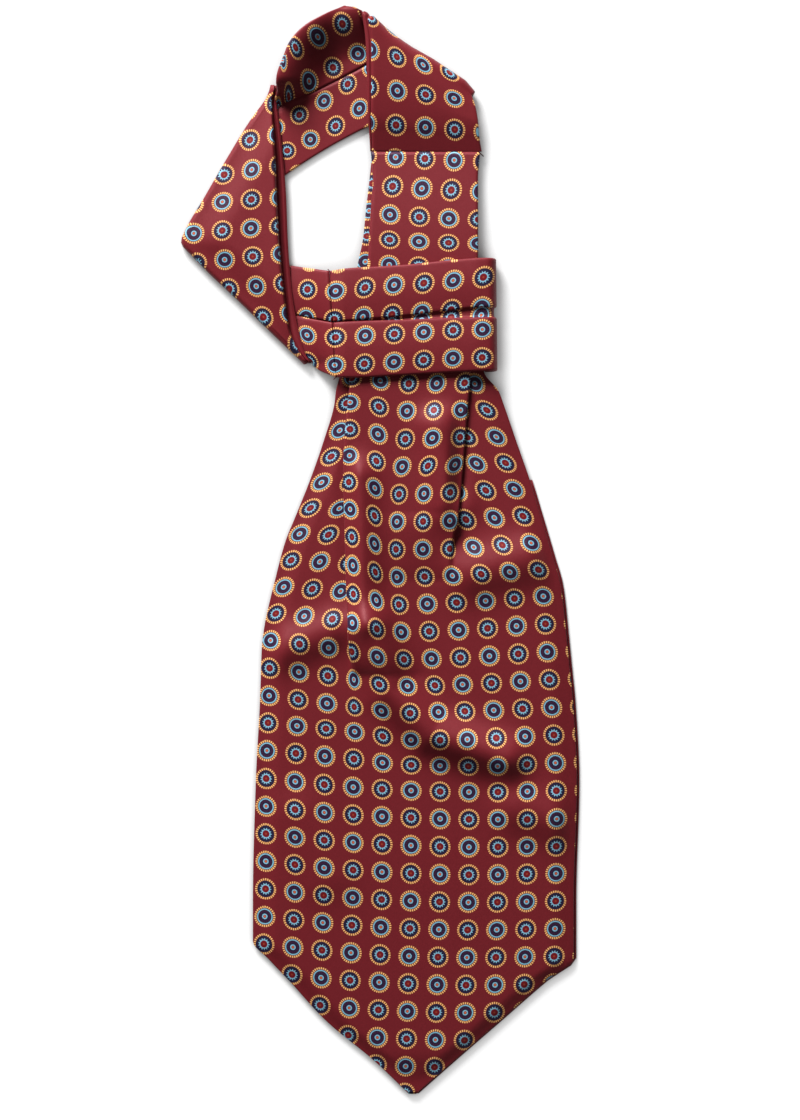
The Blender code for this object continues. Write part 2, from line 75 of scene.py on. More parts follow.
# The blade's outline and folds at each y, and how much cloth each pleat takes in
FRONT_COLUMNS = ("y", "left", "fold_left", "fold_right", "right", "tuck_left", "tuck_right")
FRONT = [
    (191.8, -4.1, -4.6, 47.8, 46.8, 48, 48),
    (179.0, -5.3, -3.6, 46.8, 45.8, 48, 48),
    (164.6, -7.0, -4.6, 46.8, 45.8, 48, 48),
    (150.2, -8.4, -5.5, 46.8, 45.8, 48, 48),
    (139.7, -10.6, -6.0, 46.8, 46.3, 48, 48),
    (107.0, -15.6, -11.3, 44.9, 49.2, 46, 46),
    (86.9, -19.0, -14.6, 43.2, 50.6, 43, 40),
    (77.3, -21.4, -15.1, 42.7, 57.8, 41, 36),
    (71.5, -22.1, -15.6, 42.0, 60.0, 40, 32),
    (54.2, -27.1, -17.3, 40.6, 66.0, 35, 22.5),
    (35.0, -33.8, -17.8, 39.1, 72.7, 28.5, 12.5),
    (15.8, -41.5, -17.3, 37.2, 78.5, 20, 4.0),
    (6.2, -45.4, -17.0, 36.7, 81.4, 15.5, 1.5),
    (-3.4, -48.2, -16.8, 36.2, 84.2, 11.5, 0.4),
    (-13.0, -50.6, -16.6, 36.2, 87.1, 9.5, 0),
    (-22.6, -53.0, -16.1, 36.2, 88.6, 6.7, 0),
    (-34.6, -55.6, -15.6, 36.2, 89.8, 4.5, 0),
    (-46.6, -57.0, -15.6, 36.2, 91.0, 2.3, 0),
    (-58.6, -57.4, -15.6, 36.2, 92.2, 0, 0),
    (-70.6, -57.8, -15.6, 36.2, 93.4, 0, 0),
    (-109.0, -59.8, -15.6, 36.2, 95.3, 0, 0),
    (-166.6, -61.2, -15.6, 36.2, 93.8, 0, 0),
    (-186.2, -61.2, -15.6, 36.2, 93.8, 0, 0),
    (-194.4, -54.0, -15.6, 36.2, 93.8, 0, 0),
    (-205.0, -43.9, -12.6, 34.2, 80.4, 0, 0),
    (-224.2, -26.2, -4.1, 30.5, 58.3, 0, 0),
    (-243.4, -3.1, 7.5, 25.5, 36.2, 0, 0),
    (-259.2, 13.4, 14.9, 16.8, 18.3, 0, 0),
]

# Heights of the middle of the blade's lowest layer
REST_COLUMNS = ("y", "centre", "edge")
REST = [
    (191.8, 1.5, 1.5),
    (139.7, 4.3, 4.3),
    (86.9, 4.3, 4.3),
    (63.8, 3.9, 2.8),
    (44.6, 3.6, 1.8),
    (-238.6, 3.6, 1.8),
    (-255.0, 1.8, 1.8),
    (-260.0, 1.8, 1.8),
]

# Soft ridges: the line of a crest, its half width and its height
RIDGES = [
    ([(28, 62), (33, 24)], 9.5, 4.9),
    ([(-11, 36), (-9, -30)], 9, 4),
    ([(44, -10), (78, -1)], 11.5, 3.8),
    ([(-54, -49), (-22, -37)], 9.5, 3.4),
    ([(-4, -36), (5, -66), (24, -86), (60, -98)], 9.5, 6.4),
    ([(66, -122), (92, -131)], 11, 3.2),
    ([(-38, -125), (-26, -155)], 12, 1.5),
]
# A pleat that takes in this much cloth holds the ridges down, as far as the setback from its fold
HOLDING_TUCK = 12.0
RIDGE_SETBACK = 9.0
# The crossing holds the ridges down above the first of these, and they are free below the second
RIDGES_HELD = 82.0
RIDGES_FREE = 58.0

# The stretch behind the neck opening
BACK_COLUMNS = ("y", "left", "right")
BACK = [
    (260.2, -16.8, -13.4),
    (258.4, -21.8, -9.6),
    (255.8, -26.6, -8.6),
    (251.0, -34.3, -6.6),
    (246.2, -39.6, -3.2),
    (241.4, -42.9, 0.6),
    (236.6, -44.8, 7.5),
    (227.0, -48.2, 22.1),
    (223.5, -48.6, 27.3),
    (220.8, -48.2, 30.8),
    (217.4, -49.8, 30.2),
    (211.2, -53.2, 20.4),
    (207.4, -56.5, 1.2),
    (198.7, -61.3, -18.0),
    (185.8, -68.9, -39.6),
    (169.4, -77.6, -63.0),
    (159.5, -83.4, -79.0),
]
# Its outer rim stands up: its height and width, and the y of its full height and of its foot
RIM = [(-8.0, 262.0), (-17.6, 258.0), (-26.6, 255.8), (-34.3, 251.0), (-39.6, 246.2),
       (-42.9, 241.4), (-44.8, 236.6), (-48.2, 227.0), (-48.6, 223.5)]
RIM_HEIGHT = 8.5
RIM_WIDTH = 22.0
RIM_FULL = 226.0
RIM_FOOT = 214.0
# The rim stands higher towards its left end: by what share, and over what width
RIM_RISE = 0.5
RIM_RISE_START = -18.0
RIM_RISE_WIDTH = 18.0

# Lines across a stretch of the neckband: their two ends, and the heights there
RUNG_COLUMNS = ("x1", "y1", "x2", "y2", "z1", "z2")
RIGHT_STRETCH = [
    (-4.5, 192.1, 47.6, 192.1, SEAM_HEIGHT, SEAM_HEIGHT),
    (-5.0, 201.5, 46.6, 197.5, 6.2, 5.0),
    (-5.5, 208.0, 46.2, 201.0, 8.0, 5.9),
    (-6.0, 227.0, 45.8, 206.5, 10.4, 6.8),
    (-6.6, 243.0, 45.0, 212.0, 11.6, 6.6),
]
TOP_FOLD = [(-7.2, 257.9), (1.6, 250.4), (8.0, 245.4), (14.6, 241.0), (24.7, 235.4), (33.5, 229.6),
            (40.1, 225.4), (44.3, 220.6)]
TOP_FOLD_HEIGHTS = (12.4, 5.6)
CROSS_START = [(*ends, LOW_BAND, LOW_BAND) for ends in (
    (-36.2, 96.8, -83.8, 141.2),
    (-29.6, 88.2, -62.0, 140.5),
    (-25.6, 86.4, -44.0, 137.2),
    (-20.9, 84.6, -24.3, 133.6),
)]
CROSSING = [(*ends, CROSSING_HEIGHT, CROSSING_HEIGHT) for ends in (
    (-20.4, 84.6, -23.8, 133.6),
    (-12.0, 84.4, -14.5, 134.8),
    (9.5, 85.6, 9.5, 136.2),
    (33.5, 87.0, 33.5, 138.6),
    (46.0, 87.6, 46.0, 139.6),
)]
RIGHT_FOLD = [(55.0, 87.8), (54.4, 139.8)]
# How far the cloth runs back under a fold
FOLD_RETURN = 1.0
# The crossing climbs from just past the left stretch's lip to this x
CLIMB_SETBACK = 0.6
CLIMB_END = -16.6
# Where the two flaps meet, as a share of the way across, and the gap between them at each line
FLAP_LINE = 0.52
FLAP_COLUMNS = ("k", "gap")
FLAP_GAPS = [(0, 0.3), (1, 0.4), (2, 1.6), (3, 3.4), (4, 4.6), (6, 4.6)]
NARROW_GAP = 0.3
FLAP_CROWN = 0.6
# A flap's points, its rounded edge's width and places, and how far it and the wedge between fall
FLAP_POINTS = 21
FLAP_ROUND = 0.9
FLAP_EDGE = [1.0, 0.5, 0.1, 0.0]
FLAP_EDGE_FALLS = [0.0, 0.15, 0.5, 1.0]
WEDGE_POINTS = 3
WEDGE_FALL = 1.3
FLAP_FALLS = ([0.0] * FLAP_POINTS + FLAP_EDGE_FALLS + [WEDGE_FALL] * WEDGE_POINTS
              + FLAP_EDGE_FALLS[::-1] + [0.0] * FLAP_POINTS)
# How far along the print the layer between the flaps is from the upper flap
WEDGE_SHIFT = 3.6

# The left stretch: its fold, its upper layer's edge and its lip at each y, and its fold's slant
LEFT_COLUMNS = ("y", "outline", "edge", "lip", "slant")
LEFT = [
    (223.8, -52.3, -50.6, -49.9, 0.6),
    (221.4, -53.2, -50.8, -49.9, 0.9),
    (217.5, -54.9, -51.8, -50.2, 1.0),
    (207.8, -62.0, -51.1, -49.0, 1.17),
    (193.4, -71.0, -50.2, -47.3, 1.17),
    (169.4, -85.0, -49.2, -45.4, 1.17),
    (155.0, -93.4, -48.5, -44.9, 1.17),
    (148.8, -95.8, -48.1, -44.6, 1.25),
    (143.5, -91.5, -47.7, -44.3, 1.35),
    (135.8, -84.2, -47.0, -43.7, 1.47),
    (121.4, -68.9, -45.4, -42.2, 1.47),
    (107.0, -54.0, -43.4, -39.6, 1.4),
    (94.6, -40.8, -37.8, -36.0, 1.1),
    (91.0, -36.8, -34.4, -33.4, 0.8),
]

# The print's medallions stand in columns u and rows v. On the blade, a row gives the places of
# five of its columns: their x, then their y
PRINT_U = (-5, -2, 0, 2, 5)
BLADE_PRINT = [
    (-27, -1.7, -6.2, 21.7, 49.9, 43.0, 204.5, 203.5, 202.3, 201.1, 200.6),
    (-26, -2.2, -6.7, 21.3, 49.4, 43.0, 190.6, 189.8, 188.5, 187.2, 186.7),
    (-24, -5.5, -9.4, 18.6, 46.8, 43.0, 163.7, 162.5, 160.3, 159.1, 158.9),
    (-22, -7.2, -9.8, 18.3, 46.6, 43.0, 139.2, 138.2, 136.8, 136.3, 136.3),
    (-18, -13.4, -13.7, 13.6, 40.2, 45.1, 84.0, 83.5, 80.7, 81.1, 80.9),
    (-17, -16.1, -14.3, 12.8, 38.3, 50.9, 71.7, 71.9, 67.7, 68.1, 68.3),
    (-16, -19.4, -14.4, 12.0, 37.9, 55.4, 58.6, 59.0, 54.3, 55.2, 55.5),
    (-14, -28.1, -14.8, 8.9, 33.0, 64.1, 33.7, 33.8, 28.0, 28.8, 30.5),
    (-12, -38.6, -13.3, 7.3, 33.3, 71.9, 9.1, 7.6, 1.7, 2.0, 4.6),
    (-10, -46.2, -12.6, 8.6, 36.2, 77.9, -16.3, -19.7, -24.7, -23.7, -20.7),
    (-8, -52.4, -13.5, 11.0, 37.9, 79.8, -41.9, -47.0, -50.9, -50.1, -47.3),
    (-6, -53.2, -12.9, 14.2, 41.0, 81.9, -68.3, -73.7, -76.3, -75.8, -73.9),
    (-5, -53.7, -12.3, 14.8, 42.2, 83.0, -81.3, -85.5, -89.2, -89.0, -87.1),
    (-3, -54.6, -13.0, 14.7, 42.5, 84.1, -108.0, -112.1, -113.7, -114.4, -113.8),
    (0, -54.7, -13.1, 14.6, 42.4, 84.0, -147.6, -151.7, -153.3, -154.0, -153.4),
    (4, -56.1, -14.4, 13.3, 41.0, 82.7, -200.4, -204.5, -206.1, -206.8, -206.2),
    (9, -58.1, -16.5, 11.3, 39.0, 80.6, -266.4, -270.5, -272.1, -272.8, -272.2),
]
# The back panel's column and row at its right edge and y 0
BACK_PANEL_PRINT = (6.45, -11.6)
# The distances between medallions along a row and a column
PITCH = (13.9, 13.2)
PITCHES = {
    "blade_silk": PITCH,
    "right_silk": (14.0, 15.6),
    "back_silk": (14.2, 14.2),
    "left_silk": (13.6, 14.2),
    "cross_silk": (13.6, 13.7),
}
# A column between medallions, for edges too narrow to show the print
PLAIN_COLUMN = 0.5

# On the neckband, a row gives the place of its column 0 and the step to column 1. A net starts
# with 1 where column 0 and row 0 meet at the second kind of medallion, and with its first row's v
NET_COLUMNS = ("v", "x", "y", "dx", "dy")
NET_ROUNDS = 5
RIGHT_NET = (0, -1, [
    (7.4, 188.6, 13.9, -1.4),
    (7.5, 204.3, 14.0, -1.0),
    (8.1, 220.1, 13.5, -1.7),
    (7.8, 236.0, 12.5, -3.6),
    (5.5, 250.1, 10.1, -4.3),
    (1.7, 261.6, 8.6, -4.8),
])
BACK_UPPER_NET = (1, -1, [
    (1.2, 246.2, -7.2, 13.0),
    (-10.8, 239.3, -7.4, 13.1),
    (-22.8, 232.7, -7.4, 13.2),
    (-34.6, 225.6, -5.9, 14.4),
    (-44.1, 218.7, -2.0, 15.3),
    (-48.7, 213.6, -1.0, 14.4),
])
BACK_LOWER_NET = (0, -2, [
    (7.1, 240.5, 5.6, -11.7),
    (-4.3, 232.6, 5.6, -11.7),
    (-15.7, 224.7, 5.6, -11.7),
    (-27.0, 216.6, 5.5, -12.0),
    (-38.9, 209.9, 5.3, -11.8),
    (-49.9, 203.8, 5.3, -11.0),
])
LEFT_NET = (1, -5, [
    (-62.6, 226.1, 12.0, 4.3),
    (-62.6, 211.7, 12.0, 3.4),
    (-62.4, 197.4, 13.2, 2.4),
    (-61.4, 183.0, 13.2, 2.2),
    (-61.6, 168.7, 13.9, 0.9),
    (-61.8, 155.0, 13.7, 1.1),
    (-60.9, 141.5, 13.5, 1.4),
    (-59.3, 127.4, 13.0, 1.0),
    (-55.9, 112.9, 12.5, 1.2),
    (-51.6, 98.9, 12.0, 1.0),
])
CROSS_UPPER_NET = (0, -1, [
    (-47.8, 127.2, -1.4, -13.4),
    (-34.3, 126.1, -1.0, -13.4),
    (-20.9, 124.7, -0.8, -13.4),
    (-7.3, 126.3, -1.0, -13.9),
    (6.6, 127.6, -1.1, -14.1),
    (20.7, 128.4, -1.0, -13.9),
    (34.7, 129.7, -1.0, -13.9),
    (49.1, 131.3, -1.0, -14.4),
    (63.1, 132.5, -1.0, -14.4),
])
CROSS_LOWER_NET = (1, -1, [
    (-48.2, 107.0, 1.0, -12.5),
    (-34.7, 104.4, 1.0, -12.5),
    (-20.9, 102.7, -0.2, -13.1),
    (-7.2, 103.4, -0.4, -13.4),
    (6.7, 104.2, -0.2, -13.3),
    (20.7, 105.1, -0.1, -13.3),
    (34.7, 106.0, -0.1, -13.3),
    (48.6, 106.4, -0.1, -13.4),
    (62.6, 106.8, 0.0, -13.4),
])
# The right stretch's inner edge: the width at each y of the lip below its upper layer
RIGHT_LIP = [(192.6, 0.4), (208.0, 0.9), (227.0, 1.8), (244.0, 2.7), (258.6, 2.7)]
# A lip's profile: shares of its width in from its outer side, and how far it lies below the edge
LIP_PROFILE = [(0.0, 1.2), (0.2, 0.9), (0.45, 0.75), (0.7, 0.9), (0.95, 1.3)]
EDGE_PROFILE = [(0.1, 0.9), (0.35, 0.35), (0.7, 0.1), (1.3, 0.0)]
RIGHT_POINTS = 41

# The left stretch is filled out: how far its upper layer swells, and over what width
PILLOW = 2.4
PILLOW_WIDTH = 18.0
LEFT_EDGE_LIFT = 0.8
LEFT_EDGE_WIDTH = 12.0
# How much of that is lost where the edge falls by 1 mm
LEFT_EDGE_LOSS = 0.8
# Between its upper layer and its lip is a groove, which closes towards the foot
GROOVE = (0.1, 0.5, 0.9)
GROOVE_DEPTH = 1.6
GROOVE_FOOT = 104.0
GROOVE_RUN = 40.0
GROOVE_SHARE = 0.5
GROOVE_LEAST = 0.05

# The back stretch's centre seam: its x at each y, and the groove along it. The shares of the
# stretch's width are the most that the groove reaches and the least from the seam to an edge
BACK_SEAM = [(250.0, 20.0), (234.0, -6.5), (221.1, -31.9), (215.5, -46.8), (211.7, -56.9),
             (205.0, -70.0)]
BACK_SEAM_FALLS = [0.1, 0.4, 0.8, 0.4, 0.1]
BACK_SEAM_REACH = 1.8
BACK_SEAM_SHARE = 0.03
BACK_SEAM_MARGIN = 0.04

# Sewing thread: points along each piece of it, and its radius
THREADS = {
    "seam_right": ([(-4.4, 191.95, 4.25), (47.2, 191.95, 4.25)], 0.25),
    "thread_end_right": ([(46.8, 191.8, 3.6), (48.2, 191.0, 3.2), (49.4, 190.0, 2.2)], 0.25),
    "thread_end_top": ([(-23.6, 133.0, 8.5), (-24.1, 134.3, 8.3), (-25.0, 135.3, 7.7)], 0.22),
    "thread_end_low": ([(-20.7, 84.8, 8.9), (-21.3, 83.6, 8.3), (-22.3, 82.8, 7.2)], 0.22),
}

# sRGB colours, 0 to 255
COLOURS = {
    "ground": (101, 24, 31),
    "gold": (228, 172, 104),
    "brass": (104, 44, 34),
    "blue": (118, 170, 192),
    "navy": (20, 22, 48),
    "purple": (62, 22, 44),
    "core": (100, 14, 22),
    "orange": (186, 88, 44),
    "plain": (85, 19, 26),
    # The seam thread is darker than the silk: partly its own colour, partly painted shade of the
    # seam's groove
    "seam": (70, 12, 20),
}
# The silk's shine, with tinted highlights
SILK = {
    "Roughness": 0.5,
    "Specular IOR Level": 0.32,
    "Specular Tint": (1.0, 0.5, 0.52, 1.0),
    "Sheen Weight": 0.05,
    "Sheen Roughness": 0.4,
    "Sheen Tint": (1.0, 0.62, 0.62, 1.0),
}
# How many beads and petals a medallion has, and how many dots the second kind has
BEADS = 28
PETALS = 13
DOTS = 16

# The floor, lights and camera, in metres. Each lamp has a place, a size and a power
WHITE = (1.0, 1.0, 1.0, 1.0)
FLOOR_HALF = 2.0
FLOOR_HEIGHT = -0.0002
FLOOR = {
    "Base Color": (0.38, 0.38, 0.38, 1.0),
    "Emission Color": WHITE,
    "Roughness": 0.9,
    "Specular IOR Level": 0.1,
}
FLOOR_GLOW = 0.74
# How far the painted shadow in the floor's glow reaches beside the cloth, and how strongly
FLOOR_SHADE_REACH = 0.1
FLOOR_SHADE_POWER = 2.0
WORLD_STRENGTH = 0.1
LAMPS = {
    "key": ((-0.78, 1.88, 0.98), 0.85, 150.0),
    "fill": ((0.7, -0.9, 1.6), 1.4, 2.0),
}
CAMERA_PLACE = (0.0094, -0.0034, 1.2693)


def smooth(t):
    """A ramp from 0 to 1 that starts and ends level."""
    t = min(max(t, 0.0), 1.0)
    return t * t * (3 - 2 * t)


def tangents(xs, ys):
    """Slopes for a curve through a table's rows that never runs past its values."""
    steps = [(ys[i + 1] - ys[i]) / (xs[i + 1] - xs[i]) for i in range(len(xs) - 1)]
    slopes = [steps[0]]
    for before, after in zip(steps, steps[1:]):
        slopes.append(0.0 if before * after <= 0 else 2 * before * after / (before + after))
    return slopes + [steps[-1]]


def reader(columns, rows):
    """A function that reads every column of a table at any place along its first column."""
    rows = sorted(rows)
    keys = [row[0] for row in rows]
    values = {name: [row[i] for row in rows] for i, name in enumerate(columns)}
    slopes = {name: tangents(keys, values[name]) for name in columns[1:]}

    def read(key):
        key = min(max(key, keys[0]), keys[-1])
        i = max(j for j in range(len(keys) - 1) if keys[j] <= key)
        span = keys[i + 1] - keys[i]
        t = (key - keys[i]) / span
        result = {columns[0]: key}
        for name, slope in slopes.items():
            low, high = values[name][i], values[name][i + 1]
            result[name] = (low * (1 + 2 * t) * (1 - t) ** 2 + high * t * t * (3 - 2 * t)
                            + span * slope[i] * t * (1 - t) ** 2
                            - span * slope[i + 1] * t * t * (1 - t))
        return result

    return read


def sections(rows, step, start=None):
    """Places along a table's first column: its rows, and evenly spaced ones between them."""
    keys = [row[0] for row in rows if start is None or row[0] <= start]
    places = [keys[0]]
    for before, after in zip(keys, keys[1:]):
        count = max(1, round(abs(after - before) / step))
        places += [before + (after - before) * (k + 1) / count for k in range(count)]
    return places


read_front = reader(FRONT_COLUMNS, FRONT)
read_rest = reader(REST_COLUMNS, REST)
read_left = reader(LEFT_COLUMNS, LEFT)
read_back = reader(BACK_COLUMNS, BACK)
read_seam = reader(("y", "x"), BACK_SEAM)
read_gap = reader(FLAP_COLUMNS, FLAP_GAPS)
read_blade_print = [
    reader(("y", "x", "v"), [(row[6 + k], row[1 + k], row[0]) for row in BLADE_PRINT])
    for k in range(len(PRINT_U))
]


def net(table):
    """A function from a place on the neckband to the print's column and row there."""
    shift, first, rows = table
    read = reader(NET_COLUMNS, [(first + k, *row) for k, row in enumerate(rows)])
    last = first + len(rows) - 1

    def off(v, x, y):
        row = read(v)
        return (x - row["x"]) * row["dy"] - (y - row["y"]) * row["dx"]

    def at(x, y):
        ends = [off(v, x, y) for v in range(first, last + 1)]
        spans = [k for k in range(len(ends) - 1) if ends[k] * ends[k + 1] <= 0]
        if spans:
            low, high = first + spans[0], first + spans[0] + 1
            off_low, off_high = ends[spans[0]], ends[spans[0] + 1]
            for _ in range(NET_ROUNDS):
                v = low + (high - low) * off_low / (off_low - off_high) if off_low != off_high else low
                here = off(v, x, y)
                if here * off_low > 0:
                    low, off_low = v, here
                else:
                    high, off_high = v, here
        elif abs(ends[0]) < abs(ends[-1]):
            v = first - ends[0] / (ends[1] - ends[0])
        else:
            v = last - ends[-1] / (ends[-1] - ends[-2])
        row = read(v)
        run = row["dx"] ** 2 + row["dy"] ** 2
        u = ((x - row["x"]) * row["dx"] + (y - row["y"]) * row["dy"]) / run
        return u + shift, v

    return at


def distance(x, y, line):
    """How far a place is from a line through points."""
    nearest = math.inf
    for (x1, y1), (x2, y2) in zip(line, line[1:]):
        run_x, run_y = x2 - x1, y2 - y1
        along = ((x - x1) * run_x + (y - y1) * run_y) / (run_x ** 2 + run_y ** 2)
        along = min(max(along, 0.0), 1.0)
        nearest = min(nearest, math.hypot(x - x1 - along * run_x, y - y1 - along * run_y))
    return nearest


def swell(x, y):
    """Height that the soft ridges add to the pleated blade at a place."""
    total = sum(height * math.exp(-(distance(x, y, crest) / half_width) ** 2)
                for crest, half_width, height in RIDGES)
    return total * smooth((RIDGES_HELD - y) / (RIDGES_HELD - RIDGES_FREE))


def rim_lift(x, y):
    """Height that the standing outer edge adds to the stretch behind the neck opening."""
    free = smooth((y - RIM_FOOT) / (RIM_FULL - RIM_FOOT))
    height = RIM_HEIGHT * (1 + RIM_RISE * smooth((RIM_RISE_START - x) / RIM_RISE_WIDTH))
    return height * (1 - smooth(distance(x, y, RIM) / RIM_WIDTH)) * free


def rest_height(x, y, left, right):
    """Height of the middle of the blade's lowest layer, which falls towards its edges."""
    rest = read_rest(y)
    inward = smooth(min(x - left, right - x) / EDGE_FALL)
    return rest["edge"] + (rest["centre"] - rest["edge"]) * inward


def pleat_turn(tuck):
    """The angle of a pleat's two bends, and the flat between them, for the cloth it takes in."""
    if tuck >= 2 * (BEND_LENGTH + SHORTEST_FLAT):
        return math.pi, tuck / 2 - BEND_LENGTH
    low, high = 0.0, math.pi
    for _ in range(TURN_ROUNDS):
        turn = (low + high) / 2
        radius = BEND_LENGTH / max(turn, 1e-6)
        taken = 2 * (BEND_LENGTH - radius * math.sin(turn)) + SHORTEST_FLAT * (1 - math.cos(turn))
        if taken < tuck:
            low = turn
        else:
            high = turn
    return low, SHORTEST_FLAT


def pleat(tuck, bend_steps, size=1.0):
    """A left pleat's path from the side panel up to the middle panel, from where it starts."""
    turn, flat = pleat_turn(tuck)
    x, z, angle = 0.0, 0.0, 0.0
    path = [(x, z)]
    bends = [turn / bend_steps] * bend_steps + [0.0] + [-turn / bend_steps] * bend_steps
    for bend in bends:
        length = flat if len(path) == bend_steps + 1 else BEND_LENGTH / bend_steps
        middle = angle + bend / 2
        x += length * size * math.cos(middle)
        z += length * size * math.sin(middle)
        angle += bend
        path.append((x, z))
    return path


def spread(start, end, count):
    """Places from one end of a stretch to the other, both left out."""
    return [start + (end - start) * (k + 1) / (count + 1) for k in range(count)]


def along_path(path, start, end):
    """Print columns along a hidden path, from one end's column to the other's."""
    lengths = [0.0]
    for (x1, z1), (x2, z2) in zip(path, path[1:]):
        lengths.append(lengths[-1] + math.hypot(x2 - x1, z2 - z1))
    return [start + (end - start) * length / lengths[-1] for length in lengths]


def front_section(y, bend_steps=8, side_points=26, middle_points=52):
    """The pleated blade's path across one section, and the print's column and row along it."""
    row = read_front(y)
    left, right = row["left"] + PANEL_HALF, row["right"] - PANEL_HALF - ROLL_INSET
    pleated = row["tuck_left"] + row["tuck_right"] > 0
    size = 1.0 if pleated else min(1.0, (right - left) / UNPLEATED_WIDTH)
    path_left = pleat(row["tuck_left"], bend_steps, size)
    path_right = pleat(row["tuck_right"], bend_steps, size)
    shift_left = row["fold_left"] + PANEL_HALF - min(x for x, _ in path_left[1:])
    shift_right = row["fold_right"] - PANEL_HALF + min(x for x, _ in path_right[1:])
    rise = path_left[-1][1], path_right[-1][1]
    turn_left = [(x + shift_left, z) for x, z in path_left]
    turn_right = [(shift_right - x, z) for x, z in reversed(path_right)]
    middle_start, middle_end = turn_left[-1][0], turn_right[0][0]
    middle = []
    for x in spread(middle_start, middle_end, middle_points):
        across = (x - middle_start) / (middle_end - middle_start)
        middle.append((x, rise[0] + (rise[1] - rise[0]) * smooth(across)))
    side_left = [(left, 0.0)] + [(x, 0.0) for x in spread(left, turn_left[0][0], side_points)]
    side_right = [(x, 0.0) for x in spread(turn_right[-1][0], right, side_points)] + [(right, 0.0)]

    marks = [read(y) for read in read_blade_print]
    column_x = [mark["x"] for mark in marks]
    read_row = reader(("u", "v"), list(zip(PRINT_U, (mark["v"] for mark in marks))))

    def middle_column(x):
        k = 1 if x < column_x[2] else 2
        share = (x - column_x[k]) / (column_x[k + 1] - column_x[k])
        return PRINT_U[k] + share * (PRINT_U[k + 1] - PRINT_U[k])

    def side_column(x, k):
        return PRINT_U[k] + (x - column_x[k]) / PITCH[0]

    columns = [side_column(x, 0) for x, _ in side_left]
    columns += along_path(turn_left, side_column(turn_left[0][0], 0), middle_column(middle_start))
    columns += [middle_column(x) for x, _ in middle]
    columns += along_path(turn_right, middle_column(middle_end), side_column(turn_right[-1][0], -1))
    columns += [side_column(x, -1) for x, _ in side_right]

    held = smooth(row["tuck_left"] / HOLDING_TUCK), smooth(row["tuck_right"] / HOLDING_TUCK)
    points = []
    for part, path in ((-1, side_left + turn_left), (0, middle), (1, turn_right + side_right)):
        for x, z in path:
            away = x - row["fold_left"], row["fold_right"] - x
            if part:
                away = -away[0] if part < 0 else away[0], -away[1] if part > 0 else away[1]
            free = [1 - hold * (1 - smooth(gap / RIDGE_SETBACK)) for hold, gap in zip(held, away)]
            free.append(smooth(min(x - left, right - x) / EDGE_FALL))
            height = rest_height(x, y, row["left"], row["right"]) + z
            points.append(Vector((x, y, height + swell(x, y) * math.prod(free))))
    return points, [(u, read_row(u)["v"]) for u in columns]


def across_line(first, last, places):
    """Points on a straight line between two others, at shares of its length."""
    return [first.lerp(last, t) for t in places]


def climb(x, y, height):
    """Height of the crossing, which climbs out from under the left stretch."""
    start = read_left(y)["lip"] + CLIMB_SETBACK
    return LOW_BAND + (height - LOW_BAND) * smooth((x - start) / (CLIMB_END - start))


def band_ends(rows, fine):
    """The two ends of each line across a stretch of the neckband, with lines between the table's."""
    read = reader(("k",) + RUNG_COLUMNS, [(k,) + row for k, row in enumerate(rows)])
    result = []
    for k in range((len(rows) - 1) * fine + 1):
        rung = read(k / fine)
        result.append((Vector((rung["x1"], rung["y1"], rung["z1"])),
                       Vector((rung["x2"], rung["y2"], rung["z2"]))))
    return result


def between(rows, fine):
    """Rows of points, and evenly spaced ones between them, on smooth curves through each column."""
    curves = [reader(("k", "x", "y", "z"), [(k, *row[j]) for k, row in enumerate(rows)])
              for j in range(len(rows[0]))]
    result = []
    for k in range((len(rows) - 1) * fine + 1):
        spots = [curve(k / fine) for curve in curves]
        result.append([Vector((spot["x"], spot["y"], spot["z"])) for spot in spots])
    return result


def along_line(line, share):
    """The place at a share of the way along a line's points."""
    share = min(share * (len(line) - 1), len(line) - 1.001)
    k = int(share)
    return Vector((*line[k], 0)).lerp(Vector((*line[k + 1], 0)), share - k)


def fold_rows(line, layers, outward, bend_steps):
    """Rows of points round a fold, and the places along the print that they stand for.

    layers gives a share of the fold's length, and the heights of its upper and lower layer there.
    """
    run = Vector((line[-1][0] - line[0][0], line[-1][1] - line[0][1], 0)).normalized()
    out = Vector((run.y, -run.x, 0))
    if out.dot(outward) < 0:
        out = -out
    rows, places = [], []
    for k in range(bend_steps + 2):
        angle = math.pi * min(k, bend_steps) / bend_steps
        back = FOLD_RETURN if k > bend_steps else 0.0
        row, spots = [], []
        for share, top, bottom in layers:
            place = along_line(line, share)
            radius = (top - bottom) / 2
            height = Vector((0, 0, (top + bottom) / 2 + radius * math.cos(angle)))
            row.append(place + out * (radius * (math.sin(angle) - 1) - back) + height)
            spots.append(place + out * (radius * (angle - 1) + back))
        rows.append(row)
        places.append(spots)
    return rows, places


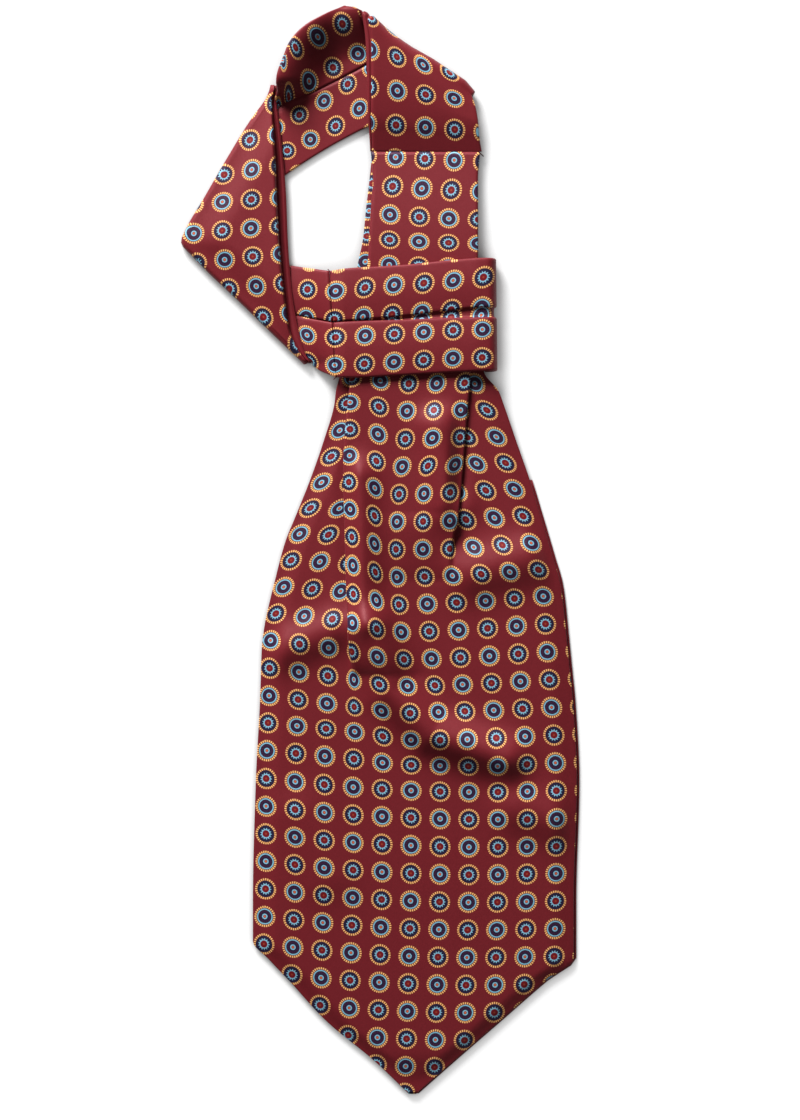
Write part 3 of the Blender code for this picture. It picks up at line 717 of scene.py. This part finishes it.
def left_section(y, bend_steps=10, flat_points=30):
    """The left stretch's path across one section, from under its fold to its lip."""
    row = read_left(y)
    radius = (HIGH_BAND - LOW_BAND) / 2
    outer = row["outline"] + BAND_HALF * row["slant"]
    centre = outer + radius * row["slant"]
    path = [(centre + FOLD_RETURN * row["slant"], LOW_BAND)]
    places = [centre - (math.pi * radius + FOLD_RETURN) * row["slant"]]
    for k in range(bend_steps + 1):
        angle = math.pi * k / bend_steps
        path.append((centre - radius * row["slant"] * math.sin(angle),
                     LOW_BAND + radius * (1 - math.cos(angle))))
        places.append(centre - radius * row["slant"] * (math.pi - angle))
    edge, lip = row["edge"], row["lip"]
    rises = [0.0] * len(path)

    def filled(x):
        side = smooth((x - outer) / row["slant"] / PILLOW_WIDTH)
        end = smooth((y - LEFT[-1][0]) / PILLOW_WIDTH)
        near_edge = smooth((x - edge + LEFT_EDGE_WIDTH) / LEFT_EDGE_WIDTH)
        return (PILLOW * side + LEFT_EDGE_LIFT * near_edge) * end

    reach = min(1.0, (edge - centre) / 2)
    for x in spread(centre, edge - EDGE_PROFILE[-1][0] * reach, flat_points):
        path.append((x, HIGH_BAND))
        places.append(x)
        rises.append(filled(x))
    top = filled(edge)
    for inward, fall in reversed(EDGE_PROFILE):
        path.append((edge - inward * reach, HIGH_BAND))
        rises.append(top * (1 - LEFT_EDGE_LOSS * fall) - fall)
    groove = min(max((y - GROOVE_FOOT) / GROOVE_RUN, 0.0), 1.0) * (lip - edge) * GROOVE_SHARE
    for share in GROOVE:
        path.append((edge + (groove + GROOVE_LEAST) * share, HIGH_BAND))
        rises.append(-GROOVE_DEPTH)
    for share, fall in reversed(LIP_PROFILE):
        path.append((lip - (lip - edge - groove - 2 * GROOVE_LEAST) * share, HIGH_BAND))
        rises.append(-fall)
    places += [x for x, _ in path[len(places):]]
    return [Vector((x, y, z)) for x, z in path], places, rises


def wall(name, rows, above, below, prints, material, top_row):
    """Thicken a grid of points into a closed wall with rounded sides, and make its object.

    above and below are distances from the grid to the wall's faces, for a row and a column.
    prints is the print's column and row, for a row, a column and the column its face starts at.
    top_row is a row whose middle faces up, which tells the wall's upper side from its lower one.
    """
    last_row, last = len(rows) - 1, len(rows[0]) - 1

    def normal(i, j):
        along = rows[min(i + 1, last_row)][j] - rows[max(i - 1, 0)][j]
        across = rows[i][min(j + 1, last)] - rows[i][max(j - 1, 0)]
        return across.cross(along).normalized()

    side = 1.0 if normal(top_row, last // 2).z > 0 else -1.0
    points = []
    for i, row in enumerate(rows):
        ups, downs = [], []
        for j, point in enumerate(row):
            out = normal(i, j) * side
            ups.append(point + out * above(i, j))
            downs.append(point - out * below(i, j))
        rims = []
        for j, inner in ((last, last - 1), (0, 1)):
            outward = (row[j] - row[inner]).normalized()
            middle, half = (ups[j] + downs[j]) / 2, (ups[j] - downs[j]) / 2
            rims.append([middle + half * math.cos(angle) + outward * half.length * math.sin(angle)
                         for angle in spread(0.0, math.pi, ROUND_POINTS)])
        points += ups + rims[0] + downs[::-1] + rims[1][::-1]
    size = len(points) // len(rows)
    columns = list(range(last + 1)) + [last] * ROUND_POINTS
    columns += list(range(last, -1, -1)) + [0] * ROUND_POINTS
    lower_start, lower_end = last + ROUND_POINTS + 1, 2 * last + ROUND_POINTS + 1
    faces, corners = [], []
    for i in range(last_row):
        for k in range(size):
            after = (k + 1) % size
            start = min(columns[k], columns[after], last - 1)
            faces.append((i * size + k, i * size + after, (i + 1) * size + after, (i + 1) * size + k))
            corners += [(i, columns[k], start), (i, columns[after], start),
                        (i + 1, columns[after], start), (i + 1, columns[k], start)]
    for i in (0, last_row):
        base = i * size
        ups = list(range(last + 1))
        downs = list(range(lower_end, lower_start - 1, -1))
        for j in range(last):
            faces.append((base + ups[j], base + ups[j + 1], base + downs[j + 1], base + downs[j]))
            corners += [(i, j, j), (i, j + 1, j), (i, j + 1, j), (i, j, j)]
        faces.append(tuple(base + k for k in range(last, lower_start + 1)))
        corners += [(i, last, last - 1)] * (ROUND_POINTS + 2)
        faces.append(tuple(base + k for k in (*range(lower_end, size), 0)))
        corners += [(i, 0, 0)] * (ROUND_POINTS + 2)
    data = bpy.data.meshes.new(name)
    data.from_pydata([point * MM for point in points], [], faces)
    layer = data.uv_layers.new(name="print")
    seen = {}
    flat = []
    for corner in corners:
        if corner not in seen:
            seen[corner] = prints(*corner)
        flat += seen[corner]
    layer.data.foreach_set("uv", flat)
    mesh = bmesh.new()
    mesh.from_mesh(data)
    bmesh.ops.recalc_face_normals(mesh, faces=mesh.faces)
    mesh.to_mesh(data)
    mesh.free()
    data.shade_smooth()
    data.materials.append(material)
    return add(name, data)


def add(name, data):
    """A new object in the scene."""
    made = bpy.data.objects.new(name, data)
    bpy.context.scene.collection.objects.link(made)
    return made


def even(thickness):
    """The same half thickness all over a wall."""
    return lambda i, j: thickness


def linear(colour):
    """An sRGB colour as the linear one that a shader takes."""
    shares = [channel / 255 for channel in COLOURS[colour]]
    return tuple(c / 12.92 if c <= 0.04045 else ((c + 0.055) / 1.055) ** 2.4 for c in shares) + (1.0,)


class Nodes:
    """Short names for the nodes that a material is built from."""

    def __init__(self, name):
        self.material = bpy.data.materials.new(name)
        self.material.use_nodes = True
        self.tree = self.material.node_tree
        self.shader = self.tree.nodes["Principled BSDF"]

    def put(self, socket, value):
        if isinstance(value, bpy.types.NodeSocket):
            self.tree.links.new(value, socket)
        else:
            socket.default_value = value

    def set(self, node, values):
        for name, value in values.items():
            node.inputs[name].default_value = value

    def math(self, operation, first, second=0.0):
        node = self.tree.nodes.new("ShaderNodeMath")
        node.operation = operation
        self.put(node.inputs[0], first)
        self.put(node.inputs[1], second)
        return node.outputs[0]

    def step(self, value, low, high, start=0.0, end=1.0):
        """A soft step of value from start to end, between low and high."""
        node = self.tree.nodes.new("ShaderNodeMapRange")
        node.interpolation_type = "SMOOTHSTEP"
        for socket, item in zip(node.inputs[:5], (value, low, high, start, end)):
            self.put(socket, item)
        return node.outputs[0]

    def band(self, value, low, high, soft=0.14):
        inside = self.step(value, low - soft, low + soft)
        return self.math("MULTIPLY", inside, self.step(value, high - soft, high + soft, 1.0, 0.0))

    def disc(self, value, radius, soft=0.14):
        return self.step(value, radius - soft, radius + soft, 1.0, 0.0)

    def mix(self, first, second, share):
        node = self.tree.nodes.new("ShaderNodeMix")
        node.data_type = "RGBA"
        self.put(node.inputs[0], share)
        self.put(node.inputs[6], first)
        self.put(node.inputs[7], second)
        return node.outputs[2]

    def noise(self, place, scale, detail=2.0):
        node = self.tree.nodes.new("ShaderNodeTexNoise")
        self.put(node.inputs["Vector"], place)
        self.set(node, {"Scale": scale, "Detail": detail})
        return node.outputs["Fac"]


def silk_surface(nodes, place, colour):
    """The silk's soft shine, and the fine twill that breaks it up."""
    shader = nodes.shader
    nodes.put(shader.inputs["Base Color"], colour)
    nodes.set(shader, SILK)
    twill = nodes.tree.nodes.new("ShaderNodeTexWave")
    twill.bands_direction = "DIAGONAL"
    nodes.put(twill.inputs["Vector"], place)
    nodes.set(twill, {"Scale": 4.6, "Distortion": 0.6})
    bump = nodes.tree.nodes.new("ShaderNodeBump")
    nodes.set(bump, {"Strength": 0.12, "Distance": 0.0002})
    height = nodes.math("ADD", twill.outputs["Fac"], nodes.noise(place, 2.2))
    nodes.put(bump.inputs["Height"], height)
    nodes.put(shader.inputs["Normal"], bump.outputs["Normal"])


def printed_silk(name, pitch):
    """Silk printed with two kinds of round medallion, in turn along its columns and rows."""
    nodes = Nodes(name)

    def times(a, b):
        return nodes.math("MULTIPLY", a, b)

    uv = nodes.tree.nodes.new("ShaderNodeUVMap")
    uv.uv_map = "print"
    split = nodes.tree.nodes.new("ShaderNodeSeparateXYZ")
    nodes.put(split.inputs[0], uv.outputs[0])
    cells, offsets = [], []
    for k in (0, 1):
        value = split.outputs[k]
        cell = nodes.math("FLOOR", nodes.math("ADD", value, 0.5))
        cells.append(cell)
        offsets.append(times(nodes.math("SUBTRACT", value, cell), pitch[k]))
    second = nodes.math("FLOORED_MODULO", nodes.math("ADD", *cells), 2.0)
    first = nodes.math("SUBTRACT", 1.0, second)
    squares = [times(offset, offset) for offset in offsets]
    radius = nodes.math("SQRT", nodes.math("ADD", *squares))
    angle = nodes.math("ARCTAN2", offsets[1], offsets[0])

    def rays(count):
        return nodes.math("COSINE", times(angle, count))

    beads = nodes.step(rays(BEADS), -0.6, 0.3)
    dots = nodes.step(rays(DOTS), -0.2, 0.5)
    petals = times(nodes.step(rays(PETALS), 0.0, 0.9), 0.6)
    petal_edge = nodes.math("SUBTRACT", radius, petals)
    place = nodes.tree.nodes.new("ShaderNodeCombineXYZ")
    for k in (0, 1):
        nodes.put(place.inputs[k], times(split.outputs[k], pitch[k]))
    place = place.outputs[0]
    # The ground's colour is a little uneven
    uneven = nodes.step(nodes.noise(place, 0.9, 3.0), 0.3, 0.7, 0.0, 0.22)
    colour = nodes.mix(linear("ground"), linear("plain"), uneven)
    # The discs and bands of the two kinds of medallion, from the lowest up, with radii in millimetres
    layers = [
        ("brass", nodes.disc(radius, 4.65)),
        ("gold", times(nodes.band(radius, 4.05, 5.05), beads)),
        ("navy", nodes.disc(radius, 4.0)),
        ("blue", times(first, nodes.disc(petal_edge, 2.18))),
        ("core", times(first, nodes.disc(radius, 1.72))),
        ("blue", times(second, nodes.disc(radius, 3.76))),
        ("navy", times(second, nodes.disc(radius, 3.24))),
        ("purple", times(second, times(nodes.band(radius, 2.0, 2.9), dots))),
        ("blue", times(second, nodes.disc(radius, 1.3))),
        ("core", times(second, nodes.disc(radius, 0.76))),
        ("orange", times(nodes.disc(radius, 0.5), nodes.math("ADD", 0.3, times(second, 0.7)))),
    ]
    for layer, share in layers:
        colour = nodes.mix(colour, linear(layer), share)
    silk_surface(nodes, place, colour)
    return nodes.material


def plain_silk(name, colour):
    """Silk with no print, for the cloth that other layers cover."""
    nodes = Nodes(name)
    coordinates = nodes.tree.nodes.new("ShaderNodeTexCoord")
    place = nodes.tree.nodes.new("ShaderNodeVectorMath")
    place.operation = "SCALE"
    nodes.put(place.inputs[0], coordinates.outputs["Object"])
    nodes.set(place, {"Scale": 1 / MM})
    silk_surface(nodes, place.outputs[0], linear(colour))
    return nodes.material


def dress(piece, *stands_for):
    """Tie a piece to the CAD: its body and the nodes that it stands for."""
    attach(piece, "root")
    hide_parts(*stands_for)
    return piece


def front_blade(material, step=1.6, level_rows=60):
    """The pleated panel, from its seam at the neckband to its point."""
    made = [front_section(y) for y in sections(FRONT, step)]
    rows, places = [row for row, _ in made], [place for _, place in made]
    return wall("front_panel", rows, even(PANEL_HALF), even(PANEL_UNDER),
                lambda i, j, _: places[i][j], material, len(rows) - level_rows)


def front_blade_back(material, step=4.0, points=60):
    """The back panel of the pleated blade, which shows as a thin roll along the right edge."""
    rows, places = [], []
    column, line = BACK_PANEL_PRINT
    for y in sections(FRONT, step, start=BACK_PANEL_TOP):
        row = read_front(y)
        left = row["left"] + PANEL_WALL
        right = row["right"] + BACK_ROLL - PANEL_HALF - ROLL_INSET
        points_here = []
        for x in [left] + spread(left, right, points - 2) + [right]:
            height = rest_height(x, y, row["left"], row["right"]) - PANEL_STEP
            points_here.append(Vector((x, y, height)))
        rows.append(points_here)
        places.append([((p.x - right) / PITCH[0] + column, line - p.y / PITCH[1])
                       for p in points_here])
    return wall("back_panel", rows, even(PANEL_HALF), even(PANEL_HALF),
                lambda i, j, _: places[i][j], material, len(rows) // 2)


def neckband_right(material, fine=12, bend_steps=14, level_row=20):
    """The neckband from the pleated blade's seam up to the top fold, and round it."""
    at = net(RIGHT_NET)
    read_lip = reader(("y", "width"), RIGHT_LIP)
    profile = [(share, 0.0, fall) for share, fall in LIP_PROFILE]
    profile += [(1.0, inward, fall) for inward, fall in EDGE_PROFILE]
    falls = [fall for _, _, fall in profile] + [0.0] * (RIGHT_POINTS + 1)

    def shares(length, y):
        width = read_lip(y)["width"]
        near = [(width * share + inward) / length for share, inward, _ in profile]
        return near + spread(near[-1], 1.0, RIGHT_POINTS) + [1.0]

    keys = []
    for x1, y1, x2, y2, z1, z2 in RIGHT_STRETCH:
        first, last = Vector((x1, y1, z1)), Vector((x2, y2, z2))
        keys.append(across_line(first, last, shares((last - first).length, y1)))
    layers = []
    for share in shares(math.dist(TOP_FOLD[0], TOP_FOLD[-1]), TOP_FOLD[0][1]):
        place = along_line(TOP_FOLD, share)
        top = TOP_FOLD_HEIGHTS[0] + (TOP_FOLD_HEIGHTS[1] - TOP_FOLD_HEIGHTS[0]) * share
        layers.append((share, top, LOW_BAND + rim_lift(place.x, place.y)))
    folded, spots = fold_rows(TOP_FOLD, layers, Vector((1, 1, 0)), bend_steps)
    rows = between(keys + [folded[0]], fine)
    places = [[at(p.x, p.y) for p in row] for row in rows + spots[1:]]
    rows += folded[1:]
    lip = len(LIP_PROFILE)

    def prints(i, j, start):
        u, v = places[i][j]
        return (PLAIN_COLUMN if start < lip else u), v

    return wall("neckband_up", rows, lambda i, j: BAND_HALF - falls[j], even(BAND_HALF), prints,
                material, level_row)


def neckband_back(material, step=1.6, side_points=32):
    """The stretch behind the neck opening: two flaps that meet at its centre seam."""
    upper, lower = net(BACK_UPPER_NET), net(BACK_LOWER_NET)
    falls = [0.0] * side_points + BACK_SEAM_FALLS + [0.0] * side_points
    rows = []
    for y in sections(BACK, step):
        row = read_back(y)
        left, right = row["left"], row["right"]
        width = right - left
        margin = width * BACK_SEAM_MARGIN
        seam = min(max(read_seam(y)["x"], left + margin), right - margin)
        reach = min(BACK_SEAM_REACH, width * BACK_SEAM_SHARE)
        xs = [left] + spread(left, seam - reach, side_points - 1)
        xs += [seam - reach, seam - reach / 2, seam, seam + reach / 2, seam + reach]
        xs += spread(seam + reach, right, side_points - 1) + [right]
        rows.append([Vector((x, y, LOW_BAND + rim_lift(x, y))) for x in xs])
    split = side_points + len(BACK_SEAM_FALLS) // 2
    places = [[upper(p.x, p.y) for p in row[:split + 1]] for row in rows]
    others = [[lower(p.x, p.y) for p in row[split:]] for row in rows]

    def prints(i, j, start):
        return places[i][j] if start < split else others[i][j - split]

    return wall("neckband_behind", rows, lambda i, j: BAND_HALF - falls[j], even(BAND_HALF), prints,
                material, len(rows) // 2)


def neckband_left(material, step=1.8):
    """The stretch down the left side, folded over the one behind and on to the crossing."""
    at = net(LEFT_NET)
    rows, places, rises = [], [], []
    for y in sections(LEFT, step):
        row, spots, rise = left_section(y)
        rows.append(row)
        places.append([at(x, y) for x in spots])
        rises.append(rise)
    lip = len(rows[0]) - len(LIP_PROFILE) - len(GROOVE)

    def prints(i, j, start):
        u, v = places[i][j]
        return (PLAIN_COLUMN if start >= lip - 1 else u), v

    return wall("neckband_down", rows, lambda i, j: BAND_HALF + rises[i][j], even(BAND_HALF), prints,
                material, len(rows) // 2)


def flap_shares(gap, length):
    """Shares of a line across the crossing, with the gap between its two flaps in the middle."""
    half, round_over = gap / 2 / length, FLAP_ROUND / length
    low, high = FLAP_LINE - half, FLAP_LINE + half
    shares = [0.0] + spread(0.0, low - round_over, FLAP_POINTS - 1)
    shares += [low - round_over * share for share in FLAP_EDGE]
    shares += spread(low, high, WEDGE_POINTS)
    shares += [high + round_over * share for share in reversed(FLAP_EDGE)]
    return shares + spread(high + round_over, 1.0, FLAP_POINTS - 1) + [1.0]


def crossing(name, ends, gaps, material, climbing_rows, top_row=4):
    """A stretch of the crossing: two flaps, and the layer that shows between them."""
    lower, upper = net(CROSS_LOWER_NET), net(CROSS_UPPER_NET)
    low_split = FLAP_POINTS + len(FLAP_EDGE) - 1
    high_split = low_split + WEDGE_POINTS + 1
    rows, places = [], []
    for (first, last, place_first, place_last), gap in zip(ends, gaps):
        shares = flap_shares(gap, (last - first).length)
        points = across_line(first, last, shares)
        if len(rows) < climbing_rows:
            points = [Vector((p.x, p.y, climb(p.x, p.y, CROSSING_HEIGHT))) for p in points]
        rows.append(points)
        spots = across_line(place_first, place_last, shares)
        places.append([
            [lower(p.x, p.y) for p in spots[:low_split + 1]],
            [upper(p.x, p.y + WEDGE_SHIFT) for p in spots[low_split:high_split + 1]],
            [upper(p.x, p.y) for p in spots[high_split:]],
        ])

    def prints(i, j, start):
        if start < low_split:
            return places[i][0][j]
        if start < high_split:
            return places[i][1][j - low_split]
        return places[i][2][j - high_split]

    def above(i, j):
        across = min(j, len(FLAP_FALLS) - 1 - j) / FLAP_POINTS
        crown = FLAP_CROWN * math.sin(math.pi * min(across, 1.0)) if i < climbing_rows else 0.0
        return BAND_HALF - FLAP_FALLS[j] + crown

    return wall(name, rows, above, even(BAND_HALF), prints, material, top_row)


def neckband_cross(material, fine=14):
    """The neckband's end, from under the left stretch to the seam of the second blade."""
    ends = [(a, b, a, b) for a, b in band_ends(CROSS_START, fine)]
    return crossing("neckband_end", ends, [NARROW_GAP] * len(ends), material, len(ends))


def rear_blade_neck(material, fine=12, bend_steps=16):
    """The second blade's neck: two flaps over the crossing, which fold round it at the right."""
    ends = [(a, b, a, b) for a, b in band_ends(CROSSING, fine)]
    level = len(ends)
    gaps = [read_gap(k / fine)["gap"] for k in range(len(ends))]
    layers = [(share, CROSSING_HEIGHT, LOW_BAND) for share in (0.0, 1.0)]
    folded, spots = fold_rows(RIGHT_FOLD, layers, Vector((1, 0, 0)), bend_steps)
    ends += [(*row, *spot) for row, spot in zip(folded, spots)]
    gaps += [FLAP_GAPS[-1][1]] * len(folded)
    return crossing("rear_blade_neck_flaps", ends, gaps, material, level)


def thread(name, points, radius, material):
    """A short end of sewing thread, as a tube through points."""
    curve = bpy.data.curves.new(name, "CURVE")
    curve.dimensions = "3D"
    curve.bevel_depth = radius * MM
    curve.bevel_resolution = 3
    curve.use_fill_caps = True
    spline = curve.splines.new("POLY")
    spline.points.add(len(points) - 1)
    for spot, point in zip(spline.points, points):
        spot.co = (*(Vector(point) * MM), 1.0)
    curve.materials.append(material)
    piece = add(name, curve)
    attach(piece, "root")
    return piece


def stage_and_lights():
    """A white floor, soft light from above the picture, and the photo's camera."""
    floor_mesh = bpy.data.meshes.new("floor")
    half = FLOOR_HALF
    floor_mesh.from_pydata([(-half, -half, 0), (half, -half, 0), (half, half, 0), (-half, half, 0)],
                           [], [(0, 1, 2, 3)])
    floor = add("floor", floor_mesh)
    white = Nodes("floor")
    white.set(white.shader, FLOOR)
    # The floor's glow is painted darker close to the cloth: a painted shadow, as under a wide soft
    # light
    painted_floor_shadow = white.tree.nodes.new("ShaderNodeAmbientOcclusion")
    white.set(painted_floor_shadow, {"Distance": FLOOR_SHADE_REACH})
    open_sky = white.math("POWER", painted_floor_shadow.outputs["AO"], FLOOR_SHADE_POWER)
    white.put(white.shader.inputs["Emission Strength"],
              white.math("MULTIPLY", open_sky, FLOOR_GLOW))
    floor_mesh.materials.append(white.material)
    floor.location.z = FLOOR_HEIGHT

    scene = bpy.context.scene
    world = bpy.data.worlds.new("light")
    world.use_nodes = True
    white.set(world.node_tree.nodes["Background"], {"Color": WHITE, "Strength": WORLD_STRENGTH})
    scene.world = world
    for name, (place, size, energy) in LAMPS.items():
        lamp = bpy.data.lights.new(name, "AREA")
        lamp.size = size
        lamp.energy = energy
        light = add(name, lamp)
        light.location = place
        light.rotation_euler = (-Vector(place)).to_track_quat("-Z", "Y").to_euler()

    lens = bpy.data.cameras.new("camera")
    lens.lens = 85
    lens.sensor_width = 36
    lens.clip_start, lens.clip_end = 0.05, 10
    camera = add("camera", lens)
    camera.location = CAMERA_PLACE
    scene.camera = camera
    scene.view_settings.view_transform = "Standard"
    scene.view_settings.look = "None"


def main():
    blade_silk, right_silk, back_silk, left_silk, cross_silk = (
        printed_silk(name, pitch) for name, pitch in PITCHES.items())
    hidden_silk = plain_silk("hidden_silk", "plain")

    panel = dress(front_blade(blade_silk), "front_blade")
    back_panel = dress(front_blade_back(blade_silk), "front_blade_back")
    up = dress(neckband_right(right_silk), "neckband_right")
    behind = dress(neckband_back(back_silk), "neckband_back")
    down = dress(neckband_left(left_silk), "neckband_left")
    end = dress(neckband_cross(cross_silk), "neckband_cross")
    flaps = dress(rear_blade_neck(cross_silk), "rear_blade_neck")
    rear = bpy.data.objects["rear_blade"]
    rear.data.materials.clear()
    rear.data.materials.append(hidden_silk)

    # The seam thread's dark colour is partly painted shade of the seam's groove
    seam_thread_and_shade_silk = plain_silk("seam_thread_and_shade_silk", "seam")
    for name, (points, radius) in THREADS.items():
        thread(name, points, radius, seam_thread_and_shade_silk)

    stage_and_lights()


main()
